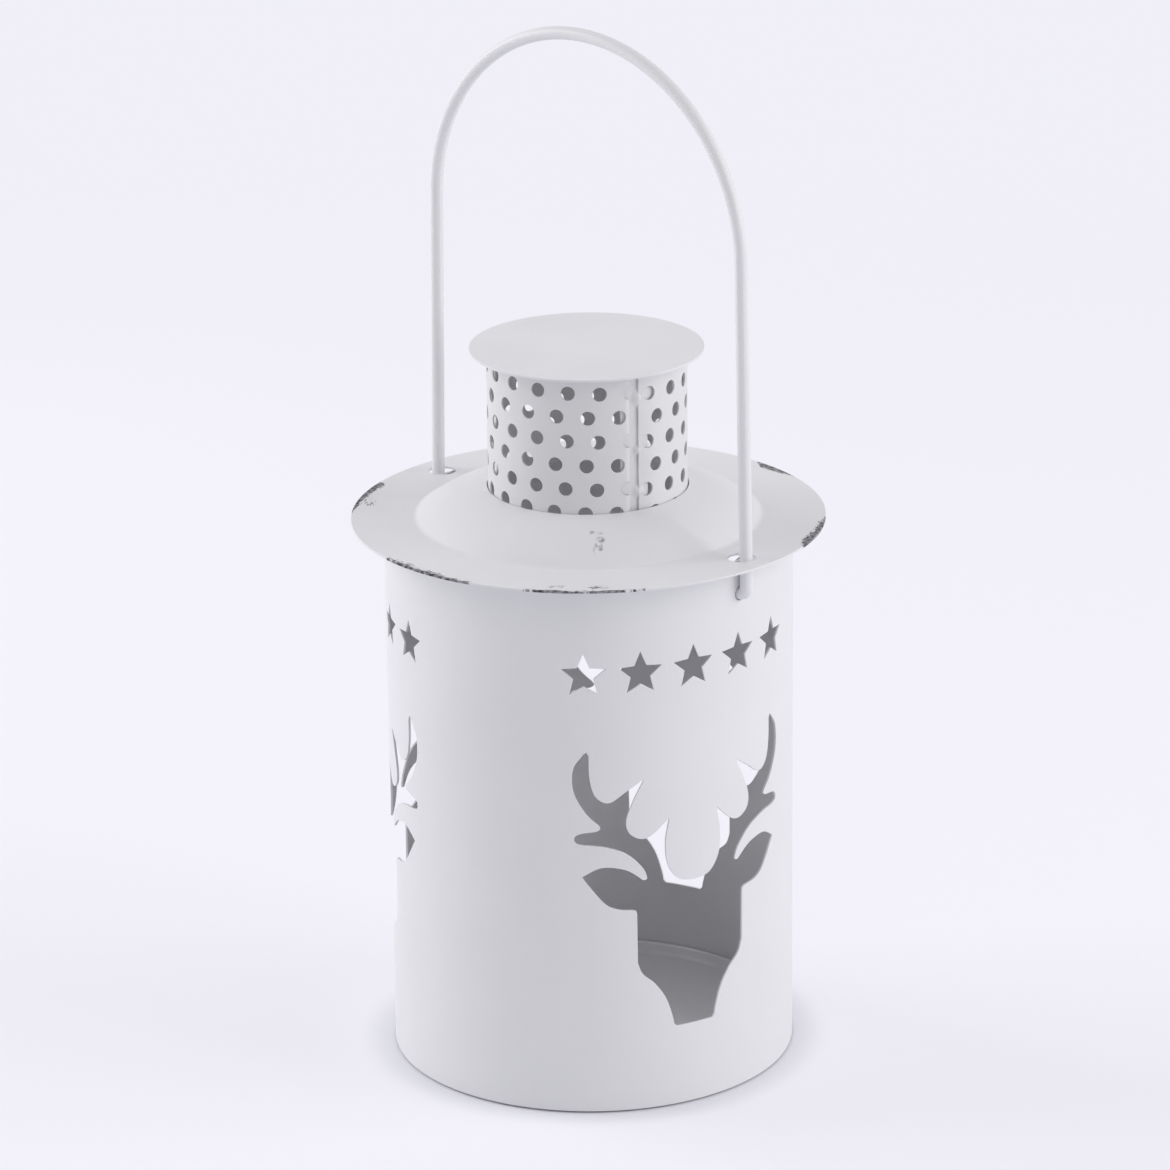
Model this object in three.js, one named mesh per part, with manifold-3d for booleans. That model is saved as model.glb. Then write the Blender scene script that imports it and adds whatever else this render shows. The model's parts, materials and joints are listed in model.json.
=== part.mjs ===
import * as THREE from 'three';
import { mergeGeometries, mergeVertices } from 'three/addons/utils/BufferGeometryUtils.js';
import Module from 'manifold-3d';

// A tealight lantern of painted sheet metal. A rolled wall with three stag cut-outs stands round a
// shallow base pan. The lid is a brim with a pressed dome, which carries a perforated chimney and its
// cap. A wire bail hooks into the wall, and the lid slides up along its legs to let the candle in.
// Millimetres, +Z up. The origin is on the ground under the middle, and the first stag faces -Y.
// Angles round the axis are counted from -Y towards +X.

const wasm = await Module();
wasm.setup();

// Body wall: a sheet rolled into a tube, with a lapped seam at the back
const bodyDiameter = 103.5;
const bodyHeight = 141.4;
const wallSheet = 0.6;
const wallSeamLap = 8;
const wallSeamRamp = 3;

// Stag cut-outs and the row of stars over each one
const stagCount = 3;
const stagFoot = 21.4;
const starRowHeight = 117;
const starCount = 5;
const starPitch = 14.2;
const starDiameter = 11.6;
const starWaistDiameter = 5.2;
const starPoints = 5;

// Base pan: a disc with an upturned flange inside the wall
const baseSheet = 0.6;
const baseFlangeHeight = 4;
const baseBendRadius = 1.5;
const baseClearance = 0.3;

// Lid: a flat brim with a pressed dome and a hole for the chimney
const brimOverhang = 8.25;
const lidSheet = 0.6;
const domeDiameter = 87.4;
const domeRise = 8.1;
const domeFillet = 0.8;
const domeTopSlope = THREE.MathUtils.degToRad(12);
const domeFootSlope = THREE.MathUtils.degToRad(38);

// Chimney: a perforated sheet rolled into a tube, with a flange that holds it under the dome
const chimneyDiameter = 50.4;
const chimneySheet = 0.5;
const chimneyRise = 35.4;
const chimneyClearance = 0.3;
const chimneyFlangeWidth = 2.6;
const chimneyFlangeDrop = 1.7;

// Chimney seam: the rolled sheet's ends nearly meet at the front, and a strap behind them joins them
const seamLeft = 2.1;
const seamRight = 0.4;
const strapSheet = 0.5;
const strapClearance = 0.4;
const strapLeft = 4.2;
const strapRight = 3.5;

// Perforation: staggered rows of a ready-made sheet, which was cut a little askew. The seam hole is the
// last one of a row before the seam, measured from the middle of the front and from the dome's rim.
const perforationDiameter = 3.6;
const perforationPitch = 7.89;
const perforationRowPitch = 6.2;
const perforationStagger = 0.35;
const perforationTilt = THREE.MathUtils.degToRad(1.95);
const perforationTopMargin = 0.6;
const seamHoleDistance = 5;
const seamHoleHeight = 24.5;

// Cap: a flat disc on the chimney
const capDiameter = 59;
const capSheet = 0.6;

// Bail: a wire arch whose ends hook into the wall under the brim
const wireDiameter = 2.8;
const bailAngle = THREE.MathUtils.degToRad(16.8);
const bailRise = 124.4;
const bailArchRise = 49.4;
const bailLegLean = 1.6;
const bailWallGap = 0.5;
const hookDrop = 8.7;
const hookReach = 3.6;
const hookClearance = 0.3;
const lidHoleDiameter = 7;
const lidHoleInset = 1.4;

// Facets
const wallFacets = 60;
const lidFacets = 60;
const chimneyFacets = 30;
const perforationSides = 8;
const boreSides = 16;
const wireSides = 10;
const bendSteps = 4;
const archSteps = 30;
const bendFacets = 3;
const strapFacets = 3;
const domeFacets = 6;
const stagStepsPerSpan = 2;
const weld = 1e-4;

// Sizes that follow from those above
const bodyRadius = bodyDiameter / 2;
const wallInnerRadius = bodyRadius - wallSheet;
const brimRadius = bodyRadius + brimOverhang;
const chimneyRadius = chimneyDiameter / 2;
const chimneyInnerRadius = chimneyRadius - chimneySheet;
const wireRadius = wireDiameter / 2;
const lidMiddle = bodyHeight + lidSheet / 2;
const domeHoleRadius = chimneyRadius + chimneyClearance;
const domeRimHeight = lidMiddle + domeRise + lidSheet / 2;
const chimneyFoot = domeRimHeight - chimneyFlangeDrop - chimneySheet;
const chimneyTop = domeRimHeight + chimneyRise;
const hookHeight = bodyHeight - hookDrop;
const bailBendRadius = wireRadius + bailWallGap;
const bailFootRadius = bodyRadius + bailBendRadius;
const bailSpringRadius = bailFootRadius - bailLegLean;
const bailSpringHeight = bodyHeight + bailRise - bailArchRise;

// Half of the stag's outline, from the middle of the brow to the middle of the muzzle. Each run is one
// smooth curve between two corners, as [distance from the middle, height over the muzzle].
const stagRuns = [
  [[0, 38.9], [4.4, 39.9], [7.3, 44], [8, 50], [7, 55.9]],
  [[7, 55.9], [7.1, 56.5], [7.6, 56]],
  [[7.6, 56], [11.8, 52.4], [14.8, 52], [17.6, 54], [18, 57.6], [16, 62.8], [13.8, 67]],
  [[13.8, 67], [13.8, 67.6], [14.4, 67.2]],
  [[14.4, 67.2], [18, 64.8], [22.4, 62], [25.8, 63.9], [27.2, 69], [27.3, 74.5]],
  [[27.3, 74.5], [27.9, 75.5], [28.8, 74.7]],
  [[28.8, 74.7], [31.2, 71], [31.2, 65.2], [28.4, 59.6], [25, 56.1]],
  [[25, 56.1], [24.6, 55.2], [25.6, 54.5]],
  [[25.6, 54.5], [29.9, 53.8], [31.1, 52.5], [30, 51.1], [24, 50.4], [18.4, 48.4], [14.3, 44.6], [13, 42.1]],
  [[13, 42.1], [12.9, 41], [13.9, 40.8]],
  [[13.9, 40.8], [18.3, 43.9], [24.2, 44.8], [28.7, 42.7]],
  [[28.7, 42.7], [29.2, 42.2], [28.9, 41.7]],
  [[28.9, 41.7], [24, 35.4], [20.6, 33.5], [16.8, 33]],
  [[16.8, 33], [15.8, 32.7], [15.5, 31.6]],
  [[15.5, 31.6], [15.4, 18.6]],
  [[15.4, 18.6], [14.1, 15.4], [10.9, 12.4], [8, 8], [6.2, 2.6], [5.9, 0.8]],
  [[5.9, 0.8], [5.2, 0]],
];

// A point at a radius and an angle round the axis.
function polar(radius, angle) {
  return new THREE.Vector2(radius * Math.sin(angle), -radius * Math.cos(angle));
}

// Angles from start to end in equal steps, both ends included.
function angleRun(start, end, steps) {
  return Array.from({ length: steps + 1 }, (_, step) => start + ((end - start) * step) / steps);
}

// A closed geometry as a solid that can be cut and joined.
function solidOf(geometry) {
  const bare = geometry.clone();
  bare.deleteAttribute('normal');
  bare.deleteAttribute('uv');
  const merged = mergeVertices(bare, weld);
  const corners = merged.index.array;
  const triangles = [];
  for (let i = 0; i < corners.length; i += 3) {
    const [a, b, c] = corners.slice(i, i + 3);
    if (a !== b && b !== c && c !== a) triangles.push(a, b, c);
  }
  const vertProperties = new Float32Array(merged.attributes.position.array);
  const triVerts = new Uint32Array(triangles);
  return new wasm.Manifold(new wasm.Mesh({ numProp: 3, vertProperties, triVerts }));
}

// A solid back as a geometry.
function geometryOf(solid) {
  const { vertProperties, triVerts } = solid.getMesh();
  const geometry = new THREE.BufferGeometry();
  geometry.setAttribute('position', new THREE.BufferAttribute(vertProperties, 3));
  geometry.setIndex(new THREE.BufferAttribute(triVerts, 1));
  geometry.computeVertexNormals();
  return geometry;
}

// A profile of [radius, height] points turned round the axis, outer side upwards.
function turned(profile, facets) {
  return new THREE.LatheGeometry(profile, facets).rotateX(Math.PI / 2);
}

// A sheet's cross-section: a middle line given thickness to both sides, closed on itself.
function sheetProfile(middleLine, thickness) {
  const upper = [];
  const lower = [];
  middleLine.forEach((point, i) => {
    const before = middleLine[Math.max(i - 1, 0)];
    const after = middleLine[Math.min(i + 1, middleLine.length - 1)];
    const along = after.clone().sub(before).normalize();
    const across = new THREE.Vector2(-along.y, along.x).multiplyScalar(thickness / 2);
    upper.push(point.clone().add(across));
    lower.push(point.clone().sub(across));
  });
  return [...lower, ...upper.reverse(), lower[0].clone()];
}

// A tube between an outer and an inner outline, standing on the given height.
function tubeBetween(outer, inner, foot, height) {
  const section = new THREE.Shape(outer);
  section.holes.push(new THREE.Path(inner));
  const geometry = new THREE.ExtrudeGeometry(section, { depth: height, bevelEnabled: false });
  return geometry.translate(0, 0, foot);
}

// A rolled sheet along a run of angles, standing on the given height.
function rolledSheet(angles, outerRadius, sheet, foot, height) {
  const outer = angles.map((angle) => polar(outerRadius, angle));
  const inner = angles.map((angle) => polar(outerRadius - sheet, angle));
  const section = new THREE.Shape([...outer, ...inner.reverse()]);
  return new THREE.ExtrudeGeometry(section, { depth: height, bevelEnabled: false }).translate(0, 0, foot);
}

// A straight cutter through the front of the wall, whose outline keeps its arc lengths on the sheet.
function frontCutter(outline) {
  const flattened = (along) => bodyRadius * Math.sin(along / bodyRadius);
  const onWall = new THREE.Shape(outline.map((point) => new THREE.Vector2(flattened(point.x), point.y)));
  const depth = 1.5 * bodyRadius;
  return new THREE.ExtrudeGeometry(onWall, { depth, bevelEnabled: false }).rotateX(Math.PI / 2);
}

// A round cutter along a radius, through the wall.
function hookDrill(angle) {
  const radius = wireRadius + hookClearance;
  const drill = new THREE.CylinderGeometry(radius, radius, bodyRadius, boreSides);
  return drill.translate(0, -bodyRadius, 0).rotateZ(angle).translate(0, 0, hookHeight);
}

// A round punch for the chimney, tapering to the axis: the sheet is punched flat and then rolled.
function punch(angle, height) {
  const tip = chimneyRadius / 4;
  const length = chimneyRadius;
  const radius = ((perforationDiameter / 2) * length) / (chimneyRadius - tip);
  const cone = new THREE.ConeGeometry(radius, length, perforationSides);
  return cone.translate(0, -tip - length / 2, 0).rotateZ(angle).translate(0, 0, height);
}

// The whole stag outline: the half above, and its mirror image back to the start.
function stagOutline() {
  const half = [];
  for (const run of stagRuns) {
    const curve = new THREE.SplineCurve(run.map(([across, up]) => new THREE.Vector2(across, up + stagFoot)));
    half.push(...curve.getPoints((run.length - 1) * stagStepsPerSpan).slice(0, -1));
  }
  const [lastAcross, lastUp] = stagRuns.at(-1).at(-1);
  half.push(new THREE.Vector2(lastAcross, lastUp + stagFoot));
  const mirrored = half.slice(1).reverse().map((point) => new THREE.Vector2(-point.x, point.y));
  return [...half, ...mirrored].reverse();
}

// A star about a point of the flat sheet.
function starOutline(across, up) {
  return Array.from({ length: 2 * starPoints }, (_, i) => {
    const reach = (i % 2 === 0 ? starDiameter : starWaistDiameter) / 2;
    const turn = Math.PI / 2 + (i * Math.PI) / starPoints;
    return new THREE.Vector2(across + reach * Math.cos(turn), up + reach * Math.sin(turn));
  });
}

function bodyWall() {
  const lapStart = Math.PI - wallSeamLap / 2 / bodyRadius;
  const lapEnd = lapStart + wallSeamLap / bodyRadius;
  const rampEnd = lapEnd + wallSeamRamp / bodyRadius;
  const plain = angleRun(rampEnd, lapStart + 2 * Math.PI, wallFacets);
  const lap = angleRun(lapStart, lapEnd, 2);
  const outer = [
    ...plain.map((angle) => polar(bodyRadius, angle)),
    ...lap.map((angle) => polar(bodyRadius + wallSheet, angle)),
  ];
  const inner = angleRun(0, 2 * Math.PI, wallFacets).slice(0, -1);
  const tube = tubeBetween(outer, inner.map((angle) => polar(wallInnerRadius, angle)), 0, bodyHeight);
  const cutters = [frontCutter(stagOutline())];
  for (let star = 0; star < starCount; star += 1) {
    const across = (star - (starCount - 1) / 2) * starPitch;
    cutters.push(frontCutter(starOutline(across, starRowHeight)));
  }
  let wall = solidOf(tube);
  for (let stag = 0; stag < stagCount; stag += 1) {
    for (const cutter of cutters) wall = wall.subtract(solidOf(cutter));
    wall = solidOf(geometryOf(wall).rotateZ((2 * Math.PI) / stagCount));
  }
  for (const angle of [bailAngle, bailAngle + Math.PI]) wall = wall.subtract(solidOf(hookDrill(angle)));
  return geometryOf(wall);
}

function basePan() {
  const radius = wallInnerRadius - baseClearance - baseSheet / 2;
  const bend = baseBendRadius;
  const corner = new THREE.Vector2(radius - bend, bend + baseSheet / 2);
  const turn = angleRun(-Math.PI / 2, 0, bendFacets);
  const middleLine = [
    new THREE.Vector2(0, baseSheet / 2),
    ...turn.map((a) => new THREE.Vector2(corner.x + bend * Math.cos(a), corner.y + bend * Math.sin(a))),
    new THREE.Vector2(radius, baseFlangeHeight),
  ];
  return turned(sheetProfile(middleLine, baseSheet).slice(0, -1), lidFacets);
}

// The lid's middle line from the dome's hole out to the brim's edge.
function lidMiddleLine() {
  const top = new THREE.Vector2(domeHoleRadius, lidMiddle + domeRise);
  const foot = new THREE.Vector2(domeDiameter / 2, lidMiddle);
  const down = (slope, length) => new THREE.Vector2(length * Math.cos(slope), -length * Math.sin(slope));
  const shoulder = foot.clone().sub(down(domeFootSlope, domeFillet));
  const reach = top.distanceTo(shoulder) / 3;
  const dome = new THREE.CubicBezierCurve(
    top,
    top.clone().add(down(domeTopSlope, reach)),
    shoulder.clone().sub(down(domeFootSlope, reach)),
    shoulder,
  );
  const brimStart = new THREE.Vector2(foot.x + domeFillet, foot.y);
  const fillet = new THREE.QuadraticBezierCurve(shoulder, foot, brimStart);
  return [
    ...dome.getPoints(domeFacets).slice(0, -1),
    ...fillet.getPoints(bendFacets),
    new THREE.Vector2(brimRadius, lidMiddle),
  ];
}

function lid() {
  let shell = solidOf(turned(sheetProfile(lidMiddleLine(), lidSheet), lidFacets));
  const legRise = (lidMiddle - hookHeight) / (bailSpringHeight - hookHeight);
  const holeRadius = bailFootRadius - bailLegLean * legRise - lidHoleInset;
  for (const angle of [bailAngle, bailAngle + Math.PI]) {
    const place = polar(holeRadius, angle);
    const radius = lidHoleDiameter / 2;
    const drill = new THREE.CylinderGeometry(radius, radius, 4 * lidSheet, boreSides);
    drill.rotateX(Math.PI / 2).translate(place.x, place.y, lidMiddle);
    shell = shell.subtract(solidOf(drill));
  }
  return geometryOf(shell);
}

// Where the chimney's holes lie on the flat sheet, as [distance along it, height]: all that show above the
// dome, leave a rim at the top and meet the sheet, whose left end runs through some of them.
function perforation() {
  const around = 2 * Math.PI * chimneyRadius;
  const along = new THREE.Vector2(Math.cos(perforationTilt), -Math.sin(perforationTilt));
  const up = new THREE.Vector2(-along.y, along.x);
  const seamHole = new THREE.Vector2(around - seamHoleDistance, domeRimHeight + seamHoleHeight);
  const holeRadius = perforationDiameter / 2;
  const rows = Math.ceil(chimneyRise / perforationRowPitch);
  const places = [];
  for (let row = -rows; row <= rows; row += 1) {
    const shift = Math.abs(row % 2) * perforationStagger;
    for (let hole = -Math.ceil(around / perforationPitch); hole <= 0; hole += 1) {
      const place = seamHole.clone().addScaledVector(along, (hole + shift) * perforationPitch);
      place.addScaledVector(up, row * perforationRowPitch);
      const shows = place.y + holeRadius > domeRimHeight;
      const leavesRim = place.y + holeRadius < chimneyTop - perforationTopMargin;
      const clearsRightEnd = place.x - holeRadius > seamRight;
      if (shows && leavesRim && clearsRightEnd) places.push([place.x, place.y]);
    }
  }
  return places;
}

function chimney() {
  const angles = angleRun(seamRight / chimneyRadius, 2 * Math.PI - seamLeft / chimneyRadius, chimneyFacets);
  const height = chimneyTop - chimneyFoot;
  const sheet = rolledSheet(angles, chimneyRadius, chimneySheet, chimneyFoot, height);
  const flange = tubeBetween(
    angles.map((angle) => polar(chimneyRadius + chimneyFlangeWidth, angle)),
    angles.map((angle) => polar(chimneyInnerRadius, angle)),
    chimneyFoot,
    chimneySheet,
  );
  const holes = perforation().map(([along, up]) => punch(along / chimneyRadius, up));
  const punched = solidOf(sheet).subtract(solidOf(mergeGeometries(holes)));
  return geometryOf(punched.add(solidOf(flange)));
}

function chimneyStrap() {
  const angles = angleRun(-strapLeft / chimneyRadius, strapRight / chimneyRadius, strapFacets);
  const outerRadius = chimneyInnerRadius - strapClearance;
  return rolledSheet(angles, outerRadius, strapSheet, chimneyFoot, chimneyTop - chimneyFoot);
}

function chimneyCap() {
  const middle = chimneyTop + capSheet / 2;
  const middleLine = [0, capDiameter / 2].map((radius) => new THREE.Vector2(radius, middle));
  return turned(sheetProfile(middleLine, capSheet).slice(0, -1), lidFacets);
}

// A path through set stations: close together in the bends, far apart on the straight runs.
class WirePath extends THREE.Curve {
  constructor(stations) {
    super();
    this.stations = stations;
  }

  getUtoTmapping(u) {
    return u;
  }

  getPoint(t, target = new THREE.Vector3()) {
    const place = t * (this.stations.length - 1);
    const i = Math.min(Math.floor(place), this.stations.length - 2);
    return target.lerpVectors(this.stations[i], this.stations[i + 1], place - i);
  }
}

// Half of the bail in its own plane, from the hook's tip up to the middle of the arch.
function bailHalf() {
  const bendCentre = new THREE.Vector2(bailFootRadius - bailBendRadius, hookHeight + bailBendRadius);
  const hookTip = new THREE.Vector2(wallInnerRadius - hookReach, hookHeight);
  const bend = angleRun(-Math.PI / 2, 0, bendSteps);
  const arch = angleRun(0, Math.PI / 2, archSteps / 2);
  return [
    hookTip,
    ...bend.map((a) => new THREE.Vector2(
      bendCentre.x + bailBendRadius * Math.cos(a),
      bendCentre.y + bailBendRadius * Math.sin(a),
    )),
    ...arch.map((a) => new THREE.Vector2(
      bailSpringRadius * Math.cos(a),
      bailSpringHeight + bailArchRise * Math.sin(a),
    )),
  ];
}

function bailHandle() {
  const half = bailHalf();
  const mirrored = half.slice(0, -1).reverse().map((point) => new THREE.Vector2(-point.x, point.y));
  const outwards = polar(1, bailAngle);
  const inPlace = (point) => new THREE.Vector3(outwards.x * point.x, outwards.y * point.x, point.y);
  const stations = [...half, ...mirrored].map(inPlace);
  const turns = angleRun(0, 2 * Math.PI, wireSides).slice(0, -1);
  const section = new THREE.Shape(turns.map((angle) => polar(wireRadius, angle)));
  return new THREE.ExtrudeGeometry(section, {
    steps: stations.length - 1,
    extrudePath: new WirePath(stations),
    bevelEnabled: false,
  });
}

// Satin white paint, with a slightly cool cast.
function paint() {
  return new THREE.MeshStandardMaterial({ color: '#e4e4e8', roughness: 0.45, metalness: 0 });
}

const lantern = new THREE.Group();
const pieces = {
  body_wall: bodyWall,
  base_pan: basePan,
  lid,
  chimney,
  chimney_strap: chimneyStrap,
  chimney_cap: chimneyCap,
  bail_handle: bailHandle,
};
for (const [name, make] of Object.entries(pieces)) {
  const mesh = new THREE.Mesh(make(), paint());
  mesh.name = name;
  lantern.add(mesh);
}

export default lantern;
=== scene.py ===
# %% [markdown]
# # A tealight lantern of painted sheet metal
#
# The lantern is seven pieces: a wall cut flat and rolled into a tube, a base pan inside it, a lid with a
# pressed dome, a perforated chimney rolled from a strip, a strap behind its seam, a cap disc and a wire
# bail. The imported frame says where each one is and how it moves. Here every piece is made again with the
# fine edges, laps and worn paint of the real one, and put in the same place. It starts with the frame.

# %% Load the frame
import json
import math

import bmesh
import bpy
from mathutils import Matrix, Quaternion, Vector
from mathutils.geometry import interpolate_bezier


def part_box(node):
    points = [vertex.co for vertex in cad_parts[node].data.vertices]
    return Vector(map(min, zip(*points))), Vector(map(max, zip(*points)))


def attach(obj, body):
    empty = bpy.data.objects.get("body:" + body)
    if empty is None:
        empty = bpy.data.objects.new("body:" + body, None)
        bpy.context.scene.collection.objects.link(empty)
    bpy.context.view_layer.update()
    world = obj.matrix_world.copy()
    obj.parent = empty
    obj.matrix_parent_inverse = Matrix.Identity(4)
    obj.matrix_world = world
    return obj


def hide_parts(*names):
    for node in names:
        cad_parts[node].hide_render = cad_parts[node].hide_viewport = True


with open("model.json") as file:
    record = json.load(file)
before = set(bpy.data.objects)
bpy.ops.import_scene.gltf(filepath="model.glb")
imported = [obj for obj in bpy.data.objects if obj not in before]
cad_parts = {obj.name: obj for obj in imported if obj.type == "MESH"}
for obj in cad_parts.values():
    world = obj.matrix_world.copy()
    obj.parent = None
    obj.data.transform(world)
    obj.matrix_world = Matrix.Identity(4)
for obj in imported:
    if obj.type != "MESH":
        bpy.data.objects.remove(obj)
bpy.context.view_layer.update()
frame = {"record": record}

# %% [markdown]
# ## Sizes
#
# Blender works in metres, but a lantern maker thinks in millimetres. So each piece is modelled in
# millimetres and scaled to metres as its last step. Sizes that the frame knows are read from it, and an
# angle round the lantern is counted from -Y, where the first stag looks, towards +X.

# %% Sizes read from the frame
MM = 0.001


def node_box(name):
    """Lowest and highest corner of a frame node, in millimetres."""
    return [[value / MM for value in corner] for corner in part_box(name)]


def polar(radius, angle, height=0.0):
    """A point at a radius and an angle round the lantern."""
    return Vector((radius * math.sin(angle), -radius * math.cos(angle), height))


WALL_RADIUS = node_box("body_wall")[1][0]
WALL_HEIGHT = node_box("body_wall")[1][2]
BRIM_RADIUS = node_box("lid")[1][0]
LID_FOOT = node_box("lid")[0][2]
DOME_TOP = node_box("lid")[1][2]
CHIMNEY_FOOT = node_box("chimney")[0][2]
CHIMNEY_TOP = node_box("chimney")[1][2]
CAP_RADIUS = node_box("chimney_cap")[1][0]
CAP_TOP = node_box("chimney_cap")[1][2]
BAIL_TOP = node_box("bail_handle")[1][2]

joints = {joint["name"]: joint for joint in frame["record"]["behaviour"]["joints"]}
hook_axis = joints["bail_rock"]["axis"]
HOOK_HEIGHT = joints["bail_rock"]["pos_m"][2] / MM
BAIL_ANGLE = math.atan2(hook_axis[0], -hook_axis[1])
print(f"wall {2 * WALL_RADIUS:.1f} x {WALL_HEIGHT:.1f} mm, brim {2 * BRIM_RADIUS:.1f} mm")

# %% [markdown]
# ## Camera
#
# The photo was taken with a long lens from a little above, so upright lines hardly lean. The place and the
# lens come from fitting the ellipses of the lid, the cap and the foot. A long lens is set by its focal
# length, and the tilt of the photo by a small roll about the line of sight.

# %% Camera at the photo's place
PHOTO_SIDE = 1170
FOCAL_PIXELS = 5433
SENSOR_WIDTH = 36
CAMERA_AZIMUTH = math.radians(-29.5)
CAMERA_ELEVATION = math.radians(19.28)
CAMERA_DISTANCE = 1379.6
CAMERA_ROLL = math.radians(-0.65)
TARGET_SIDEWAYS = -1.05
TARGET_HEIGHT = 122.7

photo_right = polar(1, CAMERA_AZIMUTH + math.pi / 2)
target = photo_right * TARGET_SIDEWAYS + Vector((0, 0, TARGET_HEIGHT))
towards_camera = polar(math.cos(CAMERA_ELEVATION), CAMERA_AZIMUTH, math.sin(CAMERA_ELEVATION))

camera_data = bpy.data.cameras.new("photo_camera")
camera_data.sensor_width = SENSOR_WIDTH
camera_data.lens = SENSOR_WIDTH * FOCAL_PIXELS / PHOTO_SIDE
camera = bpy.data.objects.new("photo_camera", camera_data)
camera.location = (target + towards_camera * CAMERA_DISTANCE) * MM
camera.rotation_mode = "QUATERNION"
roll_turn = Quaternion((0, 0, 1), CAMERA_ROLL)
camera.rotation_quaternion = (-towards_camera).to_track_quat("-Z", "Y") @ roll_turn
bpy.context.collection.objects.link(camera)
bpy.context.scene.camera = camera
print(f"lens {camera_data.lens:.1f} mm at {CAMERA_DISTANCE:.0f} mm")

# %% [markdown]
# ## Paint
#
# The whole lantern wears one satin white paint with a slightly cool cast. It is never quite even: it
# clouds a little over centimetres, has the fine orange peel of sprayed paint, and a few specks. On the
# chimney the paint is a little greyer, which is painted shade for the shade under the cap. On the pan it is
# lighter, which is painted light for the light that falls on the pan inside the lantern, and glossier. On
# the lid it is rubbed through to dark metal along the brim. A picture of the chips could be painted by
# hand, but chips follow the edge, so the mesh carries a wear value at each vertex instead. The material
# breaks the border of that value up with a streaky noise that runs along the edge, and with a coarser one
# that makes a thin rub stop and start. Small marks away from the edge are oval spots, placed in the
# material itself.

# %% Shader helpers


def add_node(tree, kind, sockets=None, **settings):
    """A shader node with its settings, and each socket set to a value or linked to another socket."""
    node = tree.nodes.new(kind)
    for name, value in settings.items():
        setattr(node, name, value)
    for name, value in (sockets or {}).items():
        if isinstance(value, bpy.types.NodeSocket):
            tree.links.new(value, node.inputs[name])
        else:
            node.inputs[name].default_value = value
    return node


def math_node(tree, operation, *values):
    """The output of a maths node."""
    return add_node(tree, "ShaderNodeMath", dict(enumerate(values)), operation=operation).outputs[0]


def mix_colours(tree, factor, below, above):
    """Below where the factor is 0, above where it is 1. A mix node's colours are its sockets 6 and 7."""
    return add_node(tree, "ShaderNodeMix", {0: factor, 6: below, 7: above}, data_type="RGBA").outputs[2]


def mix_values(tree, factor, below, above):
    """The same for plain numbers, whose sockets are 2 and 3."""
    return add_node(tree, "ShaderNodeMix", {0: factor, 2: below, 3: above}, data_type="FLOAT").outputs[0]


def noise(tree, place, scale, detail, roughness=0.5):
    """A noise from 0 to 1 with about this many waves to the metre."""
    sockets = {"Vector": place, "Scale": scale, "Detail": detail, "Roughness": roughness}
    return add_node(tree, "ShaderNodeTexNoise", sockets).outputs["Fac"]


def reach_of(tree, place):
    """How far a place lies from the origin."""
    return add_node(tree, "ShaderNodeVectorMath", {0: place}, operation="LENGTH").outputs["Value"]


def ramp(tree, value, start, end, low=0.0, high=1.0, kind="SMOOTHSTEP"):
    """Goes from low to high while the value goes from start to end."""
    sockets = {"Value": value, "From Min": start, "From Max": end, "To Min": low, "To Max": high}
    return add_node(tree, "ShaderNodeMapRange", sockets, interpolation_type=kind).outputs["Result"]


print("helpers for shader nodes are ready")

# %% Specks, spots and chips in the paint
SPECKS_PER_METRE = 130
SPECK_SIZE = 0.05
SPECK_RARITY = 0.965
STREAKS_ALONG = 560
STREAKS_ACROSS = 2400
CHIP_RAGGED = 1.2
PATCHES_PER_METRE = 170
CHIP_PATCHY = 0.5
CHIP_EDGE = 0.05
WORN_THROUGH = 0.5
# A spot on the lid: angle in degrees, radius, half its length round the lid and half its width across, in
# millimetres, and its strength in the middle.
SPECKLED = [(-131, 56.8, 8, 4, 0.47), (-37, 56.8, 5, 2.6, 0.4), (-27, 57.2, 6, 2.6, 0.43)]
SMUDGES = [(-28, 33.1, 0.9, 1.0, 0.55), (-24.8, 33.4, 1.7, 0.6, 0.4), (-24.8, 35.6, 1.4, 1.4, 0.85),
           (-25.2, 37.9, 0.9, 1.6, 0.95), (-26.7, 37.5, 0.5, 1.5, 0.6), (-27.6, 39, 0.5, 1.5, 0.5)]
SPOT_CORE = 0.3
# A spot reaches this far up and down, in metres, so that only its place seen from above counts.
SPOT_DEPTH = 10


def speck_mask(tree, place):
    """One where a small speck lies: a few cells of a pattern keep a dot at their middle."""
    cells = add_node(tree, "ShaderNodeTexVoronoi", {"Vector": place, "Scale": SPECKS_PER_METRE})
    chosen = math_node(tree, "GREATER_THAN", cells.outputs["Color"], SPECK_RARITY)
    dot = math_node(tree, "LESS_THAN", cells.outputs["Distance"], SPECK_SIZE)
    return math_node(tree, "MULTIPLY", chosen, dot)


def spot_mask(tree, place, spots):
    """The strength of the strongest of some oval spots, which fade towards their rims."""
    mask = 0.0
    for degrees, radius, long, wide, strength in spots:
        angle = math.radians(degrees)
        oval = {"Vector": place, "Location": polar(radius, angle) * MM, "Rotation": (0, 0, angle),
                "Scale": (long * MM, wide * MM, SPOT_DEPTH)}
        inside = add_node(tree, "ShaderNodeMapping", oval, vector_type="TEXTURE").outputs[0]
        spot = ramp(tree, reach_of(tree, inside), SPOT_CORE, 1, low=strength, high=0)
        mask = math_node(tree, "MAXIMUM", mask, spot)
    return mask


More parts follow.
